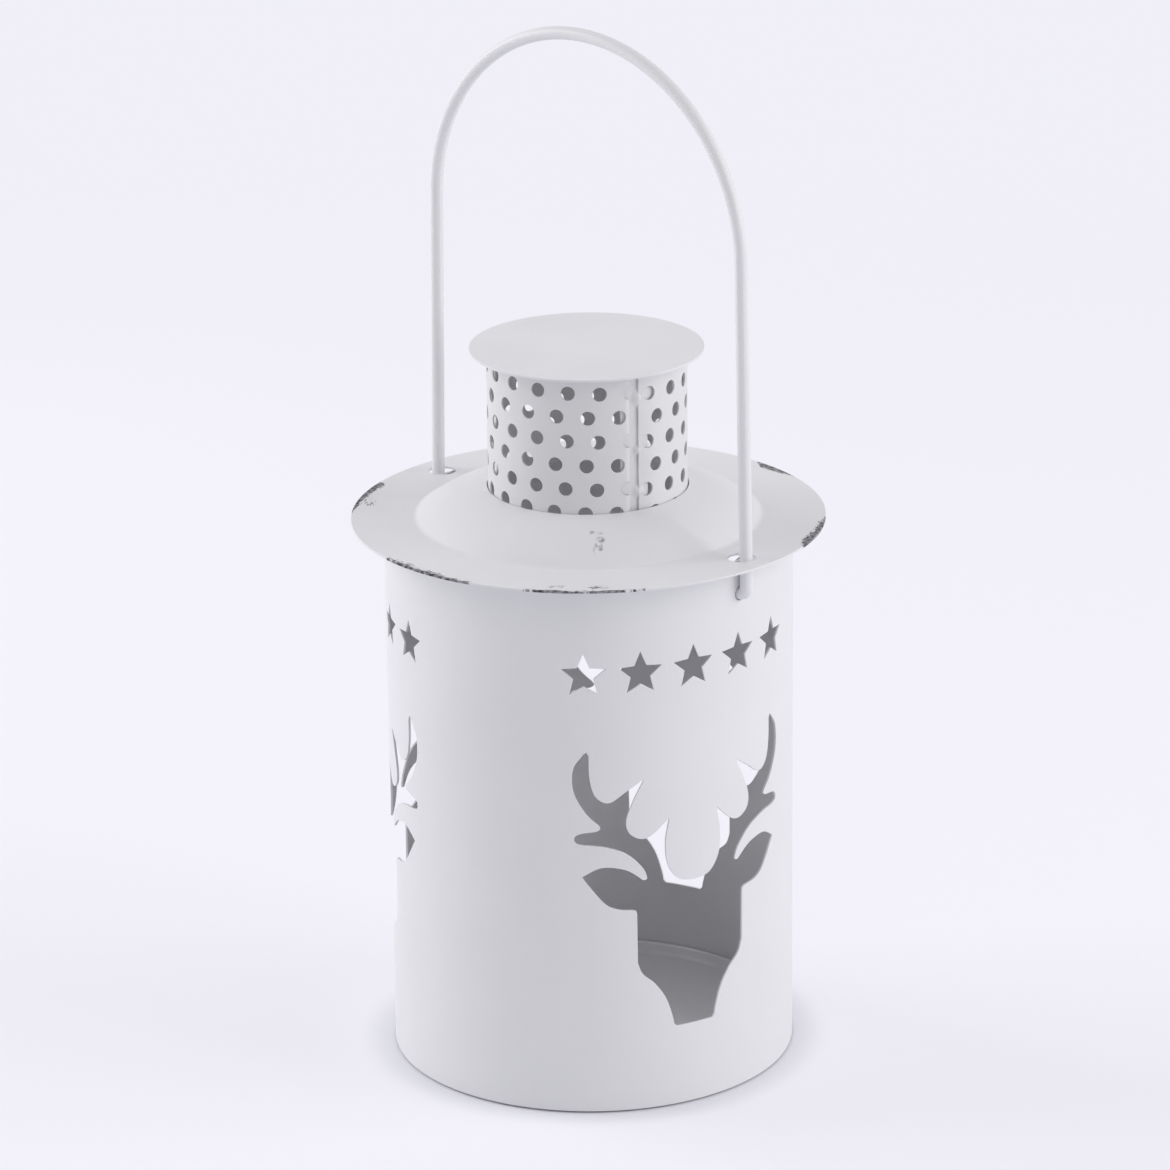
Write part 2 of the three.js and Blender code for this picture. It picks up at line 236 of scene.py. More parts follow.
def chip_mask(tree, place):
    """One where the paint is gone: the wear value, made ragged by streaks that run round the lid."""
    parts = add_node(tree, "ShaderNodeSeparateXYZ", {0: place}).outputs
    turn = math_node(tree, "ARCTAN2", parts["X"], parts["Y"])
    along = math_node(tree, "MULTIPLY", turn, BRIM_RADIUS * MM * STREAKS_ALONG)
    flat = add_node(tree, "ShaderNodeCombineXYZ", {0: parts["X"], 1: parts["Y"]}).outputs[0]
    across = math_node(tree, "MULTIPLY", reach_of(tree, flat), STREAKS_ACROSS)
    round_lid = add_node(tree, "ShaderNodeCombineXYZ", {0: along, 1: across}).outputs[0]
    streaks = noise(tree, round_lid, scale=1, detail=4, roughness=0.65)
    patches = noise(tree, place, PATCHES_PER_METRE, detail=2)
    ragged = math_node(tree, "MULTIPLY_ADD", streaks, CHIP_RAGGED, -CHIP_RAGGED / 2)
    ragged = math_node(tree, "MULTIPLY_ADD", patches, CHIP_PATCHY, ragged)
    ragged = math_node(tree, "SUBTRACT", ragged, CHIP_PATCHY / 2)
    wear = add_node(tree, "ShaderNodeAttribute", attribute_name="wear").outputs["Fac"]
    wear = math_node(tree, "MAXIMUM", wear, spot_mask(tree, place, SPECKLED))
    level = math_node(tree, "ADD", wear, ragged)
    return ramp(tree, level, WORN_THROUGH - CHIP_EDGE, WORN_THROUGH + CHIP_EDGE)


print(f"streaks {1 / STREAKS_ALONG / MM:.1f} mm long and {1 / STREAKS_ACROSS / MM:.1f} mm wide")

# %% The paints
PAINT_LIGHT = (0.80, 0.80, 0.815, 1)
PAINT_DARK = (0.755, 0.755, 0.772, 1)
SPECK_COLOUR = (0.42, 0.41, 0.42, 1)
SMUDGE_COLOUR = (0.13, 0.125, 0.12, 1)
METAL_DARK = (0.02, 0.02, 0.024, 1)
METAL_LIGHT = (0.3, 0.3, 0.315, 1)
METAL_ROUGHNESS = 0.55
PAINT_ROUGHNESS = 0.46
ROUGHNESS_SPREAD = 0.08
# The chimney's paint is the sheet paint made a little darker: painted shade, for the shade under the cap.
CHIMNEY_LIGHT = (0.752, 0.751, 0.757, 1)
CHIMNEY_DARK = (0.707, 0.706, 0.712, 1)
# The pan's paint is lighter than the sheet paint: painted light, for the light that falls on the pan inside
# the lantern.
PAN_LIGHT = (0.93, 0.93, 0.94, 1)
PAN_DARK = (0.89, 0.89, 0.90, 1)
PAN_ROUGHNESS = 0.15
PAN_GLOSS = 1.0
CLOUDS_PER_METRE = 45
PEEL_PER_METRE = 900
SMEARS_PER_METRE = 650
SMEAR_RANGE = (0.36, 0.58)
MOTTLE_RANGE = (0.36, 0.64)
PEEL_HEIGHT = 0.00003
PAINT_HEIGHT = 0.00008


def satin_paint(name, light=PAINT_LIGHT, dark=PAINT_DARK, roughness=PAINT_ROUGHNESS, chipped=False):
    """Satin white paint, with chips down to the metal on a piece that carries wear."""
    material = bpy.data.materials.new(name)
    material.use_nodes = True
    tree = material.node_tree
    surface = tree.nodes["Principled BSDF"]
    place = add_node(tree, "ShaderNodeTexCoord").outputs["Object"]
    clouds = noise(tree, place, CLOUDS_PER_METRE, detail=3)
    colour = mix_colours(tree, clouds, dark, light)
    colour = mix_colours(tree, speck_mask(tree, place), colour, SPECK_COLOUR)
    duller, glossier = roughness + ROUGHNESS_SPREAD / 2, roughness - ROUGHNESS_SPREAD / 2
    roughness = mix_values(tree, clouds, duller, glossier)
    peel = noise(tree, place, PEEL_PER_METRE, detail=1)
    bump = add_node(tree, "ShaderNodeBump", {"Height": peel, "Distance": PEEL_HEIGHT}).outputs["Normal"]
    if chipped:
        chips = chip_mask(tree, place)
        smears = noise(tree, place, SMEARS_PER_METRE, detail=2)
        smears = ramp(tree, smears, *SMEAR_RANGE, kind="LINEAR")
        smudge = math_node(tree, "MULTIPLY", smears, spot_mask(tree, place, SMUDGES))
        colour = mix_colours(tree, smudge, colour, SMUDGE_COLOUR)
        mottle = ramp(tree, peel, *MOTTLE_RANGE, kind="LINEAR")
        metal = mix_colours(tree, mottle, METAL_DARK, METAL_LIGHT)
        colour = mix_colours(tree, chips, colour, metal)
        roughness = mix_values(tree, chips, roughness, METAL_ROUGHNESS)
        step = {"Height": chips, "Distance": PAINT_HEIGHT, "Normal": bump}
        bump = add_node(tree, "ShaderNodeBump", step, invert=True).outputs["Normal"]
    for socket, value in (("Base Color", colour), ("Roughness", roughness), ("Normal", bump)):
        tree.links.new(value, surface.inputs[socket])
    return material


sheet_paint = satin_paint("satin_sheet_paint")
# The chimney and its strap get the darker paint, which is painted shade.
chimney_paint = satin_paint("chimney_paint_painted_shade", CHIMNEY_LIGHT, CHIMNEY_DARK)
# The pan's lighter paint is painted light; its gloss is the paint's own.
pan_paint = satin_paint("pan_paint_painted_light", PAN_LIGHT, PAN_DARK, PAN_ROUGHNESS)
pan_paint.node_tree.nodes["Principled BSDF"].inputs["Specular IOR Level"].default_value = PAN_GLOSS
lid_paint = satin_paint("rubbed_lid_paint", chipped=True)
wire_paint = satin_paint("satin_wire_paint")
paints = (sheet_paint, chimney_paint, pan_paint, lid_paint, wire_paint)
print("paints:", ", ".join(paint.name for paint in paints))

# %% [markdown]
# ## Finishing a piece
#
# Every piece ends the same way. Its model is scaled to metres, gets its paint, and takes the place of its
# frame node on the body that carries it. Shading is smooth, and edges sharper than the set angle stay
# crisp, so that the small round of a cut edge doesn't smear its light over the flat sheet beside it.

# %% Finish a piece
CRISP_ANGLE = math.radians(18)


def finish_piece(bm, name, node, body, material):
    """Turns a model in millimetres into a piece that stands for a frame node."""
    bmesh.ops.scale(bm, vec=(MM, MM, MM), verts=bm.verts)
    mesh = bpy.data.meshes.new(name)
    bm.to_mesh(mesh)
    bm.free()
    mesh.materials.append(material)
    mesh.shade_smooth()
    mesh.set_sharp_from_angle(angle=CRISP_ANGLE)
    piece = bpy.data.objects.new(name, mesh)
    bpy.context.collection.objects.link(piece)
    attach(piece, body)
    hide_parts(node)
    mesh.calc_loop_triangles()
    print(f"{name}: {len(mesh.loop_triangles)} triangles on {body}")


print(f"edges over {math.degrees(CRISP_ANGLE):.0f} degrees stay crisp")

# %% [markdown]
# ## Cut sheet
#
# The wall and the chimney are cut from flat sheet and then rolled. Booleans on a finished tube would work
# too, but they leave uneven edges. Cutting flat and rolling follows the real work: outlines are drawn on
# the sheet, the space between them is filled, the sheet is sliced into narrow strips that can bend, pushed
# to its thickness, and the edges are rounded a little, as paint rounds them. Last, the flat sheet is
# rolled: its length becomes an angle and its depth a radius.

# %% Flat sheet
EDGE_ROUND = 0.1
EDGE_SEGMENTS = 2
RIM_ANGLE = math.radians(60)
SHORT_EDGE = 0.05
CUT_SNAP = 0.00001
SAME_PLACE = 0.0001


def rectangle(ends, heights):
    """The corners of a plain sheet between two ends and two heights."""
    return [(ends[0], heights[0]), (ends[1], heights[0]), (ends[1], heights[1]), (ends[0], heights[1])]


def draw_outline(bm, points):
    """A closed outline on the flat sheet, along X and up Y."""
    corners = [bm.verts.new((x, y, 0)) for x, y in points]
    for start, end in zip(corners, corners[1:] + corners[:1]):
        bm.edges.new((start, end))


def draw_circle(bm, x, y, radius, segments):
    """A round hole on the flat sheet."""
    place = Matrix.Translation((x, y, 0))
    bmesh.ops.create_circle(bm, cap_ends=False, segments=segments, radius=radius, matrix=place)


def fill_sheet(bm):
    """Fills the space between the outlines, and deletes a sliver that the fill lays over other faces."""
    bmesh.ops.triangle_fill(bm, use_beauty=True, edges=bm.edges[:], normal=(0, 0, 1))
    slivers = [face for face in bm.faces if sum(len(edge.link_faces) > 2 for edge in face.edges) > 1]
    bmesh.ops.delete(bm, geom=slivers, context="FACES")


def slice_at(bm, place, across=(1, 0, 0), **options):
    """Cuts the sheet at a place, across its length unless told otherwise."""
    everything = bm.verts[:] + bm.edges[:] + bm.faces[:]
    bmesh.ops.bisect_plane(bm, geom=everything, dist=CUT_SNAP, plane_co=place, plane_no=across, **options)


def slice_strips(bm, start, end, strip):
    """Cuts the sheet into strips narrow enough to bend round, and closes up the short edges this leaves."""
    count = round((end - start) / strip)
    for i in range(1, count):
        slice_at(bm, (start + (end - start) * i / count, 0, 0))
    bmesh.ops.dissolve_degenerate(bm, dist=SHORT_EDGE, edges=bm.edges)


def slice_levels(bm, low, high, count):
    """Cuts the sheet level at even heights, so that it can wave or bulge."""
    for i in range(1, count):
        slice_at(bm, (0, low + (high - low) * i / count, 0), across=(0, 1, 0))


def round_rims(bm):
    """Rounds the edges between a sheet's faces and its cut sides."""
    rims = [edge for edge in bm.edges if edge.calc_face_angle(0) > RIM_ANGLE]
    rims = [edge for edge in rims if abs(edge.verts[0].co.z - edge.verts[1].co.z) < SAME_PLACE]
    bmesh.ops.bevel(bm, geom=rims, offset=EDGE_ROUND, offset_type="OFFSET", affect="EDGES",
                    segments=EDGE_SEGMENTS, profile=0.5, material=-1, clamp_overlap=False)


def thicken_flat(bm, sheet):
    """Pushes the flat sheet back to its thickness and rounds its cut edges."""
    pushed = bmesh.ops.extrude_face_region(bm, geom=bm.faces[:])["geom"]
    back = [vert for vert in pushed if isinstance(vert, bmesh.types.BMVert)]
    bmesh.ops.translate(bm, vec=(0, 0, -sheet), verts=back)
    bmesh.ops.recalc_face_normals(bm, faces=bm.faces)
    round_rims(bm)


def roll_up(bm, radius, lift):
    """Rolls the sheet round the lantern's axis. Lift moves a place on the sheet in or out."""
    for vert in bm.verts:
        along, up, depth = vert.co
        vert.co = polar(radius + lift(along, up) + depth, along / radius, up)


def smooth_step(value):
    """From 0 to 1 with a soft start and end."""
    t = min(max(value, 0), 1)
    return t * t * (3 - 2 * t)


print(f"cut edges are rounded by {EDGE_ROUND} mm")

# %% [markdown]
# ## Body wall
#
# The wall carries three stag heads with a row of five stars over each. They are spread evenly over the
# flat sheet, and its lap takes a little off the gap between the two at the back. The head is drawn as one
# half and mirrored. Its curves run between corners, as a jigsaw would turn, and each run is a smooth curve
# through a few points. Bezier curves whose handles follow the neighbouring points give that without
# further tuning.

# %% Stag outline
STAG_FOOT = 21.4
STAG_STEPS = 6
HANDLE_PARTS = 6
stag_runs = [
    [(0, 38.9), (4.4, 39.9), (7.3, 44), (8, 50), (7, 55.9)],
    [(7, 55.9), (7.1, 56.5), (7.6, 56)],
    [(7.6, 56), (11.8, 52.4), (14.8, 52), (17.6, 54), (18, 57.6), (16, 62.8), (13.8, 67)],
    [(13.8, 67), (13.8, 67.6), (14.4, 67.2)],
    [(14.4, 67.2), (18, 64.8), (22.4, 62), (25.8, 63.9), (27.2, 69), (27.3, 74.5)],
    [(27.3, 74.5), (27.9, 75.5), (28.8, 74.7)],
    [(28.8, 74.7), (31.2, 71), (31.2, 65.2), (28.4, 59.6), (25, 56.1)],
    [(25, 56.1), (24.6, 55.2), (25.6, 54.5)],
    [(25.6, 54.5), (29.9, 53.8), (31.1, 52.5), (30, 51.1), (24, 50.4), (18.4, 48.4), (14.3, 44.6),
     (13, 42.1)],
    [(13, 42.1), (12.9, 41), (13.9, 40.8)],
    [(13.9, 40.8), (18.3, 43.9), (24.2, 44.8), (28.7, 42.7)],
    [(28.7, 42.7), (29.2, 42.2), (28.9, 41.7)],
    [(28.9, 41.7), (24, 35.4), (20.6, 33.5), (16.8, 33)],
    [(16.8, 33), (15.8, 32.7), (15.5, 31.6)],
    [(15.5, 31.6), (15.4, 18.6)],
    [(15.4, 18.6), (14.1, 15.4), (10.9, 12.4), (8, 8), (6.2, 2.6), (5.9, 0.8)],
    [(5.9, 0.8), (5.2, 0)],
]


def smooth_run(run, steps):
    """Points along a smooth curve through a run of points, without the last one.

    A knot's handles point along the line between its neighbours, and are a part of it long.
    """
    knots = [Vector(point) for point in run]
    points = []
    for i in range(len(knots) - 1):
        before, after = knots[max(i - 1, 0)], knots[min(i + 2, len(knots) - 1)]
        leave = knots[i] + (knots[i + 1] - before) / HANDLE_PARTS
        arrive = knots[i + 1] - (after - knots[i]) / HANDLE_PARTS
        points += interpolate_bezier(knots[i], leave, arrive, knots[i + 1], steps + 1)[:-1]
    return points


def stag_outline(middle):
    """The whole head about a place along the sheet: the half outline and its mirror image."""
    half = [point for run in stag_runs for point in smooth_run(run, STAG_STEPS)]
    half.append(Vector(stag_runs[-1][-1]))
    mirrored = [Vector((-point.x, point.y)) for point in reversed(half[1:])]
    return [(middle + point.x, STAG_FOOT + point.y) for point in half + mirrored]


print(f"stag outline: {len(stag_outline(0))} points")

# %% Rolled wall with its cut-outs
WALL_SHEET = 0.6
WALL_LAP = 8.0
WALL_LAP_RAMP = 3.0
WALL_LAP_GAP = 0.05
WALL_STRIP = 1.6
STAG_COUNT = 3
STAG_PITCH = 110.2
STAR_ROW_HEIGHT = 117.0
STAR_COUNT = 5
STAR_PITCH = 14.2
STAR_RADIUS = 5.8
STAR_WAIST = 2.6
STAR_POINTS = 5
WIRE_RADIUS = 1.65
HOOK_CLEARANCE = 0.3
HOOK_HOLE_SEGMENTS = 48

wall_half_length = math.pi * WALL_RADIUS + WALL_LAP / 2


def star_outline(middle):
    """A five-pointed star on the row over a stag."""
    points = []
    for i in range(2 * STAR_POINTS):
        reach = STAR_WAIST if i % 2 else STAR_RADIUS
        turn = math.pi / 2 + i * math.pi / STAR_POINTS
        points.append((middle + reach * math.cos(turn), STAR_ROW_HEIGHT + reach * math.sin(turn)))
    return points


def wall_lift(along, up):
    """The first end of the sheet rides up over the other end at the back, alike at every height."""
    lap_foot = WALL_LAP + WALL_LAP_RAMP - wall_half_length
    return (WALL_SHEET + WALL_LAP_GAP) * smooth_step((lap_foot - along) / WALL_LAP_RAMP)


def make_wall():
    """The flat wall with three stags, their stars and the two holes for the bail's hooks, rolled up."""
    bm = bmesh.new()
    ends = (-wall_half_length, wall_half_length)
    draw_outline(bm, rectangle(ends, (0, WALL_HEIGHT)))
    for stag in range(STAG_COUNT):
        middle = (stag - (STAG_COUNT - 1) / 2) * STAG_PITCH
        draw_outline(bm, stag_outline(middle))
        for star in range(STAR_COUNT):
            draw_outline(bm, star_outline(middle + (star - (STAR_COUNT - 1) / 2) * STAR_PITCH))
    for angle in (BAIL_ANGLE, BAIL_ANGLE - math.pi):
        draw_circle(bm, angle * WALL_RADIUS, HOOK_HEIGHT, WIRE_RADIUS + HOOK_CLEARANCE, HOOK_HOLE_SEGMENTS)
    fill_sheet(bm)
    slice_strips(bm, *ends, WALL_STRIP)
    thicken_flat(bm, WALL_SHEET)
    roll_up(bm, WALL_RADIUS, wall_lift)
    finish_piece(bm, "rolled_wall", "body_wall", "body", sheet_paint)


make_wall()

# %% [markdown]
# ## Spun sheet
#
# The base pan, the lid's dome and the cap are round. On a lathe or in a press they come from one line
# turned about the axis. So the line of the upper face is drawn once, spun all the way round, and the skin
# is given its thickness below it. The rims are then rounded like the cut edges.

# %% Spin a line round the axis
SPIN_STEPS = 240
SKIN_WELD = 0.001


def spin_line(bm, line):
    """Turns a line of (radius, height) points round the axis into a skin."""
    verts = [bm.verts.new((radius, 0, height)) for radius, height in line]
    edges = [bm.edges.new(pair) for pair in zip(verts, verts[1:])]
    bmesh.ops.spin(bm, geom=verts + edges, cent=(0, 0, 0), axis=(0, 0, 1), angle=2 * math.pi,
                   steps=SPIN_STEPS, use_merge=True)


def thicken_skin(bm, sheet):
    """Welds a skin, turns its faces up and gives it its thickness below them."""
    bmesh.ops.remove_doubles(bm, verts=bm.verts, dist=SKIN_WELD)
    bmesh.ops.recalc_face_normals(bm, faces=bm.faces)
    if max(bm.faces, key=lambda face: face.calc_center_median().z).normal.z < 0:
        bmesh.ops.reverse_faces(bm, faces=bm.faces)
    bmesh.ops.solidify(bm, geom=bm.faces[:], thickness=sheet)
    round_rims(bm)


print(f"a full turn has {SPIN_STEPS} steps")

# %% [markdown]
# ## Base pan
#
# The pan is a disc with its edge turned up inside the wall. It closes the lantern and carries the candle.
# Through the stag its upturned edge shows as a pale arc, because its lip is flared a little and mirrors
# the light of the cut-outs. Its line runs from the middle along the floor, round the bend and up the
# flange, drawn on the inner side because that is the side that shows.

# %% Base pan
PAN_SHEET = 0.6
PAN_CLEARANCE = 0.3
PAN_BEND = 1.5
PAN_FLANGE = 4.0
PAN_LIP = 0.6
PAN_FLARE = 0.25
PAN_BEND_STEPS = 8
PAN_RINGS = (0, 0.25, 0.5, 0.75)


def make_pan():
    """The base pan, from its floor's middle to the top of its flange."""
    flange = WALL_RADIUS - WALL_SHEET - PAN_CLEARANCE - PAN_SHEET
    bend = PAN_BEND - PAN_SHEET / 2
    floor_line = [(ring * (flange - bend), PAN_SHEET) for ring in PAN_RINGS]
    turns = [math.pi / 2 * i / PAN_BEND_STEPS for i in range(PAN_BEND_STEPS + 1)]
    bend_line = [(flange - bend + bend * math.sin(t), PAN_SHEET + bend - bend * math.cos(t)) for t in turns]
    lip_line = [(flange, PAN_FLANGE - PAN_LIP), (flange + PAN_FLARE, PAN_FLANGE)]
    bm = bmesh.new()
    spin_line(bm, floor_line + bend_line + lip_line)
    thicken_skin(bm, PAN_SHEET)
    finish_piece(bm, "turned_up_pan", "base_pan", "body", pan_paint)


make_pan()

# %% [markdown]
# ## Lid
#
# The lid is a brim with a low dome pressed up in the middle, a hole for the chimney, and two holes that
# the bail's legs pass through. Dome and outer edge are spun lines. Between them lies a flat ring, filled
# around the two holes. The edge has narrow rings, so that the wear value can follow it closely.

# %% Lid sizes and the dome's line
LID_SHEET = 0.6
DOME_RADIUS = 43.7
DOME_FILLET = 0.8
DOME_TOP_SLOPE = math.radians(12)
DOME_FOOT_SLOPE = math.radians(38)
DOME_STEPS = 20
DOME_HANDLE_PARTS = 3
FILLET_STEPS = 10
FILLET_HANDLE = 2 / 3
CHIMNEY_RADIUS = 25.2
CHIMNEY_CLEARANCE = 0.3
EDGE_BAND = 3.8
EDGE_RINGS = 9
EDGE_CROWDING = 0.6


def downhill(slope, length):
    """A step outwards and down a slope."""
    return Vector((math.cos(slope), -math.sin(slope))) * length


def dome_line():
    """The dome's upper line, from its hole over the shoulder and the fillet to the flat brim."""
    top = Vector((CHIMNEY_RADIUS + CHIMNEY_CLEARANCE, DOME_TOP))
    foot = Vector((DOME_RADIUS, LID_FOOT + LID_SHEET))
    shoulder = foot - downhill(DOME_FOOT_SLOPE, DOME_FILLET)
    reach = (shoulder - top).length / DOME_HANDLE_PARTS
    leave = top + downhill(DOME_TOP_SLOPE, reach)
    arrive = shoulder - downhill(DOME_FOOT_SLOPE, reach)
    brim_start = foot + Vector((DOME_FILLET, 0))
    dome = interpolate_bezier(top, leave, arrive, shoulder, DOME_STEPS)
    bend = [end.lerp(foot, FILLET_HANDLE) for end in (shoulder, brim_start)]
    fillet = interpolate_bezier(shoulder, *bend, brim_start, FILLET_STEPS)
    return [tuple(point) for point in dome[:-1] + fillet]


print(f"dome line: {len(dome_line())} points, {DOME_TOP - LID_FOOT - LID_SHEET:.1f} mm high")

# %% Worn places on the lid
# A rub on the brim: from one angle to the other in degrees, the share of the way where it is deepest, how
# far in the metal shows there in millimetres, and how much wear is lost per millimetre.
RUBS = [
    (-146, -121, 0.05, 2.5, 0.3),
    (-86.5, -58, 0.15, 0.9, 0.16),
    (-70, -58.5, 0.6, 0.9, 0.2),
    (-46, -42, 0.9, 0.1, 0.2),
    (-43.5, -32.5, 0.6, 0.8, 0.55),
    (-35, -27, 0.5, 0.2, 0.2),
    (-29, -21, 0.6, 0.7, 0.5),
    (-23, -15, 0.2, 0.15, 0.2),
    (32.5, 57, 0.2, 2.2, 0.25),
    (87.7, 103.2, 0.7, 2.8, 0.4),
]
RUB_FULLNESS = 0.8


def brim_wear(angle, edge_distance):
    """Wear near the brim's edge: just worn through where the bare metal ends, more nearer the edge."""
    wear = 0.0
    for start, end, peak, depth, loss in RUBS:
        share = (math.degrees(angle) - start) / (end - start)
        tent = min(share / peak, (1 - share) / (1 - peak))
        if tent > 0:
            wear = max(wear, WORN_THROUGH + loss * (depth * tent ** RUB_FULLNESS - edge_distance))
    return wear


def put_wear(bm):
    """Stores the wear of each vertex, which the paint reads."""
    layer = bm.verts.layers.float.new("wear")
    for vert in bm.verts:
        angle = math.atan2(vert.co.x, -vert.co.y)
        radius = math.hypot(vert.co.x, vert.co.y)
        vert[layer] = brim_wear(angle, BRIM_RADIUS - radius)


print(f"{len(RUBS)} rubs on the brim")

# %% Lid
LID_HOLE_RADIUS = 3.5
LID_HOLE_PLACE = 52.08
LID_HOLE_SEGMENTS = 48


def make_lid():
    """Dome, flat ring with two holes, and edge band as one skin, thickened and worn."""
    bm = bmesh.new()
    brim_top = LID_FOOT + LID_SHEET
    dome = dome_line()
    band = BRIM_RADIUS - EDGE_BAND
    draw_circle(bm, 0, 0, dome[-1][0], SPIN_STEPS)
    draw_circle(bm, 0, 0, band, SPIN_STEPS)
    for angle in (BAIL_ANGLE, BAIL_ANGLE + math.pi):
        hole = polar(LID_HOLE_PLACE, angle)
        draw_circle(bm, hole.x, hole.y, LID_HOLE_RADIUS, LID_HOLE_SEGMENTS)
    fill_sheet(bm)
    bmesh.ops.translate(bm, vec=(0, 0, brim_top), verts=bm.verts)
    spin_line(bm, dome)
    rings = [(i / EDGE_RINGS) ** EDGE_CROWDING for i in range(EDGE_RINGS + 1)]
    spin_line(bm, [(band + EDGE_BAND * ring, brim_top) for ring in rings])
    thicken_skin(bm, LID_SHEET)
    put_wear(bm)
    finish_piece(bm, "domed_lid", "lid", "lid", lid_paint)


make_lid()

# %% [markdown]
# ## Chimney
#
# The chimney starts as a strip of ready-made perforated sheet, with holes all over in staggered rows. It is
# cut a little askew and without regard to the holes, so the rows sink to the right and one end runs through
# some holes. Rolled up, the ends nearly meet at the front. A punched strip is filled around its holes, cut
# off on all sides, and rolled like the wall. The left end is pressed onto the strap behind the seam and the
# right one stands off a little, which gives the seam its dark line. A flange at the foot, under the dome,
# stops the chimney from being pulled out.

# %% Perforated strip
CHIMNEY_SHEET = 0.5
CHIMNEY_STRIP = 1.3
HOLE_RADIUS = 1.8
HOLE_SEGMENTS = 28
HOLE_PITCH = 7.89
ROW_PITCH = 6.2
ROW_STAGGER = 0.35
ROW_TILT = math.radians(1.95)
SEAM_HOLE_DISTANCE = 5.0
SEAM_HOLE_HEIGHT = 24.5
TOP_MARGIN = 0.6
SEAM_LEFT = 2.1
SEAM_RIGHT = 0.4
SPARE = 8.0
LEFT_SINK = 0.3
RIGHT_SINK = 0.18
RIGHT_WAVE = 0.2
WAVE_LENGTH = 9.5
CHIMNEY_LEVELS = 18
LEFT_BEND = 1.2
RIGHT_BEND = 5.0

chimney_length = 2 * math.pi * CHIMNEY_RADIUS


def chimney_lift(along, up):
    """Both ends of the strip sink towards the strap, and the right one touches it only here and there."""
    left = 1 - smooth_step((chimney_length - SEAM_LEFT - along) / LEFT_BEND)
    right = 1 - smooth_step((along - SEAM_RIGHT) / RIGHT_BEND)
    wave = (1 + math.sin(2 * math.pi * (up - CHIMNEY_FOOT) / WAVE_LENGTH)) / 2
    return -LEFT_SINK * left - (RIGHT_SINK + RIGHT_WAVE * wave) * right


def hole_places():
    """The holes' middles: all that show over the dome, leave a rim at the top and clear the right end."""
    along = Vector((math.cos(ROW_TILT), -math.sin(ROW_TILT)))
    seam_hole = Vector((chimney_length - SEAM_HOLE_DISTANCE, DOME_TOP + SEAM_HOLE_HEIGHT))
    rows = math.ceil((CHIMNEY_TOP - DOME_TOP) / ROW_PITCH)
    places = []
    for row in range(-rows, rows + 1):
        for hole in range(-math.ceil(chimney_length / HOLE_PITCH), 1):
            place = seam_hole + along * (hole + row % 2 * ROW_STAGGER) * HOLE_PITCH
            place += along.orthogonal() * row * ROW_PITCH
            top = place.y + HOLE_RADIUS
            if DOME_TOP < top < CHIMNEY_TOP - TOP_MARGIN and place.x - HOLE_RADIUS > SEAM_RIGHT:
                places.append(place)
    return places


def punch_strip(bm):
    """A strip larger than needed, punched in staggered rows, cut to size and cut level, so it can wave."""
    ends, heights = (-SPARE, chimney_length + SPARE), (CHIMNEY_FOOT - SPARE, CHIMNEY_TOP + SPARE)
    draw_outline(bm, rectangle(ends, heights))
    for place in hole_places():
        draw_circle(bm, *place, HOLE_RADIUS, HOLE_SEGMENTS)
    fill_sheet(bm)
    slice_at(bm, (SEAM_RIGHT, 0, 0), clear_inner=True)
    slice_at(bm, (chimney_length - SEAM_LEFT, 0, 0), clear_outer=True)
    slice_at(bm, (0, CHIMNEY_FOOT, 0), across=(0, 1, 0), clear_inner=True)
    slice_at(bm, (0, CHIMNEY_TOP, 0), across=(0, 1, 0), clear_outer=True)
    slice_levels(bm, CHIMNEY_FOOT, CHIMNEY_TOP, CHIMNEY_LEVELS)


print(f"strip {chimney_length:.1f} mm long with {len(hole_places())} holes")

# %% Chimney
BEND_STRIP = 0.24
FLANGE_WIDTH = 2.6


def add_flange(bm):
    """A flat ring round the chimney's foot."""
    inner, outer = CHIMNEY_RADIUS - CHIMNEY_SHEET, CHIMNEY_RADIUS + FLANGE_WIDTH
    low, high = CHIMNEY_FOOT, CHIMNEY_FOOT + CHIMNEY_SHEET
    spin_line(bm, [(inner, low), (outer, low), (outer, high), (inner, high), (inner, low)])
    bmesh.ops.remove_doubles(bm, verts=bm.verts, dist=SAME_PLACE)
    bmesh.ops.recalc_face_normals(bm, faces=bm.faces)


def make_chimney():
    """The rolled strip and the flange that holds it under the dome."""
    bm = bmesh.new()
    punch_strip(bm)
    left_end = chimney_length - SEAM_LEFT
    slice_strips(bm, left_end - LEFT_BEND, left_end, BEND_STRIP)
    slice_strips(bm, SEAM_RIGHT, left_end - LEFT_BEND, CHIMNEY_STRIP)
    thicken_flat(bm, CHIMNEY_SHEET)
    roll_up(bm, CHIMNEY_RADIUS, chimney_lift)
    add_flange(bm)
    finish_piece(bm, "perforated_chimney", "chimney", "lid", chimney_paint)


make_chimney()

# %% [markdown]
# ## Seam strap
#
# A narrow strap behind the chimney's two ends holds them together, and half covers the holes beside them.
# At the top it is wider and covers a whole hole. On the real lantern it is tacked on before the chimney is
# painted, so it is as white as the rest. At each tack it bulges out to the right end, and the seam's dark
# line breaks off. Separate blobs of weld would do that too, but a bulge of the strap itself has no hard
# border. It is cut flat and rolled with the same tools, only a little closer to the axis.

# %% Seam strap
STRAP_SHEET = 0.5
STRAP_LEFT = 4.2
STRAP_RIGHT = 3.5
STRAP_TAB = 2.2
STRAP_TAB_HEIGHT = 9.0
STRAP_STRIP = 0.35
STRAP_LEVELS = 110
STRAP_CLEARANCE = 0.4
STRAP_RADIUS = CHIMNEY_RADIUS - CHIMNEY_SHEET - STRAP_CLEARANCE
# A tack weld in the seam: its height over the dome, half its width and half its length up the seam.
TACKS = [(4.6, 1.9, 2.2), (15.3, 1.5, 1.6), (28.6, 2.0, 2.8)]
TACK_RISE = 0.95


